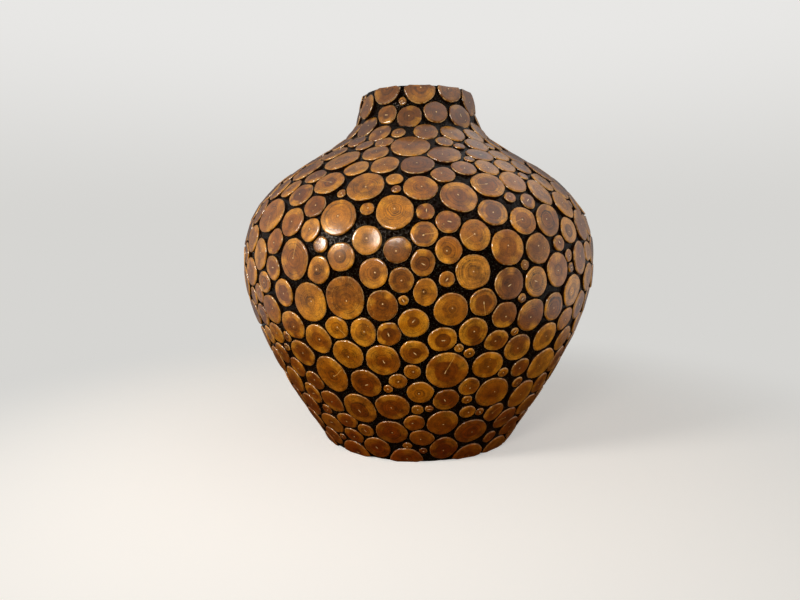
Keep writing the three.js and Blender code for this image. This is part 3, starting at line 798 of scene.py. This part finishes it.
    # Stain taken up unevenly: a darker side in some slices, a golden side and rim in others
    wood = tinted(tree, wood, "#6b3606", 0.6, (sectors, 0.5, 0.36), (chance[2], 0.2, 0.6))
    wood = tinted(tree, wood, "#cc881c", 0.75, (sectors, 0.48, 0.66), (heart, 1.0, 0.0), (way, 0.3, 0.8))
    patchy = add(tree, MATH, {0: blotches, 1: 0.72}, operation="MULTIPLY")
    wood = tinted(tree, wood, "#c4821c", patchy, (way, 0.6, 1.0), (chance[0], 0.2, 0.8))

    # Torn fibres beside the rim that the lacquer left pale
    wood = tinted(
        tree, wood, "#dca850", 0.5,
        (fibres, 0.48, 0.62), (flecks, 0.52, 0.64), (way, 0.5, 0.8), (chance[1], 0.5, 0.9))

    # Darker, redder towards the foot as painted shade, and blotches, rings, fibres and pores as light
    # and dark, dimmer towards the foot, again painted shade, and dimmer near the neck
    wood = tinted(tree, wood, "#722100", 0.75, (height, *FOOT_FADE))
    streaks = faded(tree, total(tree, -0.5, (fibres, 1.0)), (way, 0.1, 0.7))
    ring_depth = total(tree, -0.7, (heart, 0.2))
    light = total(
        tree, -0.5, (blotches, 1.3), (way, 0.12), (dark_ring, ring_depth), (pale_ring, 0.4),
        (streaks, 0.7), (coarse_pores, 0.8), (pores, 0.85))
    light = total(tree, -0.38, (light, 1.3))
    # Painted shade towards the foot, and dimmer near the neck
    light = faded(tree, light, (height, *FOOT_FADE, 1.0, 0.85), (height, 0.28, 0.38, 1.0, 0.58))
    wood = add(tree, VECTOR_MATH, {0: wood, "Scale": light}, operation="SCALE")

    # A drying crack from the pith in one slice in ten, filled with pale lacquer
    along = add(tree, "ShaderNodeSeparateXYZ", {0: from_pith}).outputs
    beside = total(tree, -2.0, (bends, 4.0), (along["Y"], 1.0))
    beside = add(tree, MATH, {0: beside}, operation="ABSOLUTE")
    wood = tinted(
        tree, wood, "#dca34c", 0.75,
        (beside, 0.4, 0.15), (along["X"], 0.0, 0.8), (way, 1.0, 0.8), (chance[2], 0.1, 0.09))

    # A knot of 2.4 mm with a dark ring in one slice in eight
    centre = add(tree, VECTOR_MATH, {0: KNOT_PLACE, "Scale": reach}, operation="SCALE")
    knot = add(tree, VECTOR_MATH, {0: from_pith, 1: centre}, operation="DISTANCE").outputs["Value"]
    wood = tinted(tree, wood, "#4a2204", 0.7, (knot, 1.5, 1.1), (tone[1], 0.88, 0.89))
    wood = tinted(tree, wood, "#c08a3e", 1.0, (knot, 0.75, 0.4), (tone[1], 0.88, 0.89))

    # Pale broken line on the bevel, partly the pale edge where the bark was peeled and partly a
    # painted highlight of the rounded rim, fainter towards the foot as painted shade, and dark bark on
    # the side
    wood = tinted(
        tree, wood, "#d4aa6c", 1.0,
        (level, -0.4, -0.02, 0.62, 0.0), (remains, 0.42, 0.58), (height, *FOOT_FADE, 1.0, 0.3))
    bark = faded(tree, 1.0, (level, -0.68, -1.2))
    wood = tinted(tree, wood, "#1c0d05", bark)

    # Bright pith of about 1 mm with a dark halo, in one slice in four a slash of 3 mm
    slash = [
        faded(tree, along[axis], (tone[2], 0.74, 0.76, 1.0, stretch))
        for axis, stretch in (("X", 0.35), ("Y", 1.5))]
    narrow = add(tree, "ShaderNodeCombineXYZ", {0: slash[0], 1: slash[1]})
    core = add(tree, VECTOR_MATH, {0: narrow}, operation="LENGTH").outputs["Value"]
    core = total(tree, -0.55, (core, 1.0), (pith_edge, 1.1))
    wood = tinted(tree, wood, "#6a3405", 0.4, (core, 1.9, 0.7))
    wood = tinted(tree, wood, "#f0c888", 1.0, (core, 0.9, 0.25))

    # Relief in millimetres: the face is slightly domed by sanding and rounded off over the last
    # 2 mm, and the lacquer lies in slow waves over the pores
    across = add(tree, MATH, {0: way, 1: reach}, operation="MULTIPLY")
    dome = add(tree, MATH, {0: across, 1: across}, operation="MULTIPLY")
    from_rim = total(tree, reach, (across, -1.0))
    rounded = faded(tree, -0.22, (from_rim, 2.0, 0.2))
    relief = total(tree, rounded, (dome, -0.0025), (pores, 0.02), (blotches, 0.1))
    bump = add(tree, "ShaderNodeBump", {"Height": relief, "Strength": 1.0, "Distance": MM})

    # Clear lacquer, dull on the bark and worn low down
    lacquer = faded(tree, total(tree, 0.95, (bark, -0.9)), (height, *FOOT_FADE, 1.0, 0.45))
    shader = add(tree, "ShaderNodeBsdfPrincipled", {
        "Base Color": wood, "Roughness": 0.4, "IOR": 1.5, "Specular IOR Level": 0.5,
        "Specular Tint": tinted(tree, linear("#f2d8b4"), "#20120a", bark),
        "Coat Weight": lacquer, "Coat Roughness": 0.14, "Coat IOR": 1.7,
        "Normal": bump, "Coat Normal": bump})
    add(tree, "ShaderNodeOutputMaterial", {"Surface": shader})
    return finish


def black_filler_resin():
    """Resin with grit, poured between the slices: brown black, lumpy and glossy."""
    finish, tree = new_finish("black_filler_resin")
    place = add(tree, "ShaderNodeTexCoord").outputs["Object"]

    # Lumps of 2.4 mm with glossy tops, and grit of 1.1 mm that is greenish grey
    lumps = add(tree, NOISE, {"Vector": place, "Scale": 1 / (LUMP_SIZE * MM), "Detail": 4.0})
    grit = add(tree, NOISE, {"Vector": place, "Scale": 1 / (GRIT_SIZE * MM), "Detail": 1.0})
    black = set_stops(
        add(tree, "ShaderNodeValToRGB", {0: lumps}), (0.4, linear("#070200")), (0.8, linear("#140602")))
    grit = faded(tree, 0.5, (grit, 0.6, 0.7), course="LINEAR")
    gloss = faded(tree, 1.0, (lumps, 0.48, 0.6), course="LINEAR")
    bump = add(tree, "ShaderNodeBump", {"Height": lumps, "Strength": 1.0, "Distance": LUMP_RELIEF * MM})
    shader = add(tree, "ShaderNodeBsdfPrincipled", {
        "Base Color": tinted(tree, black, "#45463a", grit),
        "Roughness": 0.1, "IOR": 1.25, "Specular IOR Level": 0.5,
        "Specular Tint": tinted(tree, linear("#241a12"), "#fff4e6", gloss), "Normal": bump})
    add(tree, "ShaderNodeOutputMaterial", {"Surface": shader})
    return finish


def oiled_turned_wood():
    """Turned wood of the vessel, oiled: fine rings round the axis and short pores."""
    finish, tree = new_finish("oiled_turned_wood")
    place = add(tree, "ShaderNodeTexCoord").outputs["Object"]

    # Streaks 17 mm long and 1.1 mm high that run round the vessel
    streaks = add(tree, "ShaderNodeMapping", {"Vector": place, "Scale": (60.0, 60.0, 900.0)})
    streaks = add(tree, NOISE, {"Vector": streaks, "Scale": 1.0, "Detail": 4.0})
    shade = set_stops(
        add(tree, "ShaderNodeValToRGB", {0: streaks}), (0.3, linear("#7a4f28")), (0.7, linear("#b98a55")))
    bump = add(tree, "ShaderNodeBump", {"Height": streaks, "Strength": 0.15, "Distance": 0.5 * MM})
    shader = add(tree, "ShaderNodeBsdfPrincipled", {
        "Base Color": shade, "Roughness": 0.45, "IOR": 1.5, "Normal": bump})
    add(tree, "ShaderNodeOutputMaterial", {"Surface": shader})
    return finish


# Turned pieces

def turned(name, rings, closed, finish):
    """A mesh of rings of points; a closed one joins its last ring to its first."""
    rows, sides = len(rings), len(rings[0])
    points = np.asarray(rings).reshape(-1, 3) * MM
    faces = []
    for row in range(rows if closed else rows - 1):
        here = row * sides
        above = (row + 1) % rows * sides
        for side in range(sides):
            beside = (side + 1) % sides
            faces.append((here + side, here + beside, above + beside, above + side))
    if not closed:
        faces.append(tuple(reversed(range(sides))))
        faces.append(tuple((rows - 1) * sides + side for side in range(sides)))
    mesh = bpy.data.meshes.new(name)
    mesh.from_pydata([tuple(p) for p in points], [], faces)
    mesh.polygons.foreach_set("use_smooth", [True] * len(faces))
    mesh.materials.append(finish)
    piece = bpy.data.objects.new(name, mesh)
    bpy.context.scene.collection.objects.link(piece)
    return piece


def resin_bed(finish):
    """The bed, lumpy between the slices, and smooth at the back where it lies on the vessel."""
    phi = np.arange(BED_SIDES) / BED_SIDES * TURN
    rings = []
    for v in np.linspace(0, TOP_V, BED_ROWS + 1):
        base, out = skin(phi, np.full_like(phi, v), -FACE_PROUD)
        height = [sum(tall * noise.noise(Vector(p) / wide) for wide, tall in BED_LUMPS) for p in base]
        rings.append(base + np.array(height)[:, None] * out)
    for v in np.linspace(TOP_V, 0, BED_BACK_ROWS):
        rings.append(skin(phi, np.full_like(phi, v), BED_BACK_LEVEL)[0])
    return turned("resin_bed", rings, True, finish)


def vessel(finish):
    """The vessel from its foot up the outer face, over the lip and down inside to the floor."""
    phi = np.arange(VESSEL_SIDES) / VESSEL_SIDES * TURN
    rows = np.linspace(0, TOP_V, VESSEL_ROWS)
    outer = [skin(phi, np.full_like(phi, v), VESSEL_OUTER_LEVEL)[0] for v in rows]
    inner = [skin(phi, np.full_like(phi, v), VESSEL_INNER_LEVEL)[0] for v in rows[::-1]]
    inner = [ring for ring in inner if ring[0, 2] > VESSEL_FLOOR + FLOOR_CLEARANCE]
    floor = inner[-1] * [FLOOR_WIDTH, FLOOR_WIDTH, 0] + [0, 0, VESSEL_FLOOR]
    return turned("turned_vessel", outer + inner + [floor], False, finish)


def make_object():
    """Large slices as pieces of their own, the others in courses, the bed and the vessel."""
    lay = lay_out_slices()
    tree = slice_tree(lacquered_end_grain())
    own = [i for i in range(len(PLACED_SLICES)) if 2 * lay.radius[i] >= OWN_PIECE_DIAMETER]
    for count, index in enumerate(own, 1):
        mesh = outline_mesh(f"outline_{count:02d}", lay, [index], OWN_CORNERS)
        piece = made_by(tree, f"large_slice_{count:02d}", mesh, {"Thickness": SLICE_THICKNESS})
        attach(piece, "root")
        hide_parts(f"branch_slice_{count:02d}")
    rest = [i for i in range(len(lay.phi)) if i not in own]
    band = np.minimum((lay.v / TOP_V * BANDS).astype(int), BANDS - 1)
    for number in range(BANDS):
        chosen = [i for i in rest if band[i] == number]
        mesh = outline_mesh(f"outlines_{number + 1:02d}", lay, chosen, COMMON_CORNERS)
        piece = made_by(
            tree, f"slice_course_{number + 1:02d}", mesh, {"Thickness": SLICE_THICKNESS})
        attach(piece, "root")
    bed = resin_bed(black_filler_resin())
    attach(bed, "root")
    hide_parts("mosaic_bed")
    pot = vessel(oiled_turned_wood())
    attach(pot, "root")
    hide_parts("inner_vessel")


# Camera, floor and light, in metres and radians

CAMERA_DISTANCE = 0.7291
CAMERA_HEIGHT = 0.2525
CAMERA_PITCH = 0.126
CAMERA_YAW = -0.029
CAMERA_ROLL = -0.004
FOCAL_PIXELS = 601.0
FRAME_WIDTH = 800.0
SENSOR_WIDTH = 36.0

# Half width of the floor, where its warm light for the vase ends, and where it goes over to
# the colour of the backdrop, both from the vase's axis
FLOOR_REACH = 6.0
BOUNCE_FADE = (0.35, 0.6)
BACKDROP_FADE = (0.26, 0.72)
BACKDROP_LOW = "#d6d5d2"
BACKDROP_HIGH = "#e8e7e5"

# Lamps: degrees to the right of the front and up, distance, width and height, and watts
LAMPS = {
    "main_lamp": (-53, 23, 1.6, 0.37, 0.37, 12.0),
    "second_lamp": (-17, 22, 1.6, 0.42, 0.3, 5.5),
}


def make_camera():
    """Camera in front of the vase that looks a little down."""
    ahead = Vector((math.sin(CAMERA_YAW), math.cos(CAMERA_YAW), 0))
    right = Vector((math.cos(CAMERA_YAW), -math.sin(CAMERA_YAW), 0))
    forward = ahead * math.cos(CAMERA_PITCH) - Vector((0, 0, math.sin(CAMERA_PITCH)))
    up = ahead * math.sin(CAMERA_PITCH) + Vector((0, 0, math.cos(CAMERA_PITCH)))
    c, s = math.cos(CAMERA_ROLL), math.sin(CAMERA_ROLL)
    right, up = right * c + up * s, up * c - right * s
    data = bpy.data.cameras.new("camera")
    data.sensor_width = SENSOR_WIDTH
    data.lens = SENSOR_WIDTH * FOCAL_PIXELS / FRAME_WIDTH
    camera = bpy.data.objects.new("camera", data)
    turn = Matrix((right, up, -forward)).transposed().to_4x4()
    camera.matrix_world = Matrix.Translation((0, -CAMERA_DISTANCE, CAMERA_HEIGHT)) @ turn
    bpy.context.scene.collection.objects.link(camera)
    bpy.context.scene.camera = camera


def make_floor():
    """A plain floor, pale to the eye, that throws back a little warm light near the vase only.

    It takes a shadow near the vase and goes over to the colour of the backdrop further off.
    """
    finish, tree = new_finish("pale_floor")
    seen = add(tree, "ShaderNodeLightPath").outputs["Is Camera Ray"]
    place = add(tree, "ShaderNodeTexCoord").outputs["Object"]
    far = add(tree, VECTOR_MATH, {0: place}, operation="LENGTH").outputs["Value"]
    near = faded(tree, 1.0, (far, *BOUNCE_FADE, 1.0, 0.0), course="LINEAR")
    solid = add(tree, MATH, {0: seen, 1: near}, operation="MAXIMUM")
    off = faded(tree, 1.0, (far, *BACKDROP_FADE))
    pale = tinted(tree, linear("#f6f5f2"), "#000000", off)
    colour = add(tree, MIX, {0: seen, 6: linear("#5a3a20"), 7: pale}, data_type="RGBA").outputs[2]
    glow = add(tree, MATH, {0: seen, 1: total(tree, 0.5, (off, 0.5))}, operation="MULTIPLY")
    shader = add(tree, "ShaderNodeBsdfPrincipled", {
        "Base Color": colour, "Roughness": 0.8, "Specular IOR Level": 0.0,
        "Emission Color": linear(BACKDROP_LOW), "Emission Strength": glow})
    clear = add(tree, "ShaderNodeBsdfTransparent")
    shown = add(tree, "ShaderNodeMixShader", {0: solid, 1: clear, 2: shader})
    add(tree, "ShaderNodeOutputMaterial", {"Surface": shown})
    mesh = bpy.data.meshes.new("floor")
    corners = [(x * FLOOR_REACH, y * FLOOR_REACH, 0) for x, y in ((-1, -1), (1, -1), (1, 1), (-1, 1))]
    mesh.from_pydata(corners, [], [(0, 1, 2, 3)])
    mesh.materials.append(finish)
    floor = bpy.data.objects.new("floor", mesh)
    bpy.context.scene.collection.objects.link(floor)


def make_world():
    """Soft light that is dim in front and pale at the sides and above, and a pale backdrop."""
    world = bpy.data.worlds.new("studio")
    bpy.context.scene.world = world
    world.use_nodes = True
    tree = world.node_tree
    tree.nodes.clear()
    path = add(tree, "ShaderNodeLightPath").outputs
    towards = add(tree, "ShaderNodeTexCoord").outputs["Generated"]
    x, y, z = add(tree, "ShaderNodeSeparateXYZ", {0: towards}).outputs

    # Diffuse light mostly from low in front, more from the sides, little from above and below
    fill = faded(
        tree, 1.0, (y, -1.0, 0.6, 1.12, 0.85), (z, 0.0, 0.65, 1.0, 0.02), (x, 0.1, 1.0, 0.9, 2.6),
        (x, -1.0, 0.1, 1.8, 1.0), (z, -0.5, 0.0, 0.1, 1.0), course="LINEAR")
    soft = add(tree, "ShaderNodeBackground", {"Color": linear("#f6f3ef"), "Strength": fill})

    # Mirrored light: dim in front, pale at both sides and above, brighter on the right
    sides = set_stops(
        add(tree, "ShaderNodeValToRGB", {0: total(tree, 0.5, (y, 0.5))}),
        (0.03, grey(0.006)), (0.24, grey(0.065)), (0.5, grey(0.42)),
        (0.74, grey(0.34)), (0.86, grey(0.22)), (1.0, grey(0.08)))
    above = faded(tree, 1.0, (z, 0.3, 0.7, 0.0, 0.32), (x, -0.2, 0.6, 1.0, 2.6), course="LINEAR")
    shine = add(tree, MATH, {0: sides, 1: above}, operation="MAXIMUM")
    shine = faded(tree, shine, (x, -1.0, 1.0, 1.0, 1.35), course="LINEAR")
    mirrored = add(tree, "ShaderNodeBackground", {"Color": linear("#f3f1f2"), "Strength": shine})

    # The backdrop is brighter higher up
    sweep = tinted(tree, linear(BACKDROP_LOW), BACKDROP_HIGH, 1.0, (z, 0.0, 0.3))
    backdrop = add(tree, "ShaderNodeBackground", {"Color": sweep, "Strength": 1.0})
    seen = add(tree, MATH, {
        0: path["Is Camera Ray"], 1: path["Is Transmission Ray"]}, operation="MAXIMUM")
    mixed = add(tree, "ShaderNodeMixShader", {0: path["Is Glossy Ray"], 1: soft, 2: mirrored})
    mixed = add(tree, "ShaderNodeMixShader", {0: seen, 1: mixed, 2: backdrop})
    add(tree, "ShaderNodeOutputWorld", {"Surface": mixed})


def make_lamps():
    """Rectangular lamps at the left, facing the belly."""
    for name, (azimuth, elevation, distance, width, height, power) in LAMPS.items():
        azimuth, elevation = math.radians(azimuth), math.radians(elevation)
        level = math.cos(elevation)
        towards = Vector((
            math.sin(azimuth) * level, -math.cos(azimuth) * level, math.sin(elevation)))
        data = bpy.data.lights.new(name, "AREA")
        data.shape = "RECTANGLE"
        data.size, data.size_y = width, height
        data.energy = power
        data.color = linear("#fdf5ec")[:3]
        lamp = bpy.data.objects.new(name, data)
        lamp.location = Vector((0, 0, BELLY_HEIGHT * MM)) + distance * towards
        lamp.rotation_euler = towards.to_track_quat("Z", "Y").to_euler()
        bpy.context.scene.collection.objects.link(lamp)


make_camera()
make_object()
make_floor()
make_world()
make_lamps()
bpy.context.scene.view_settings.view_transform = "Standard"
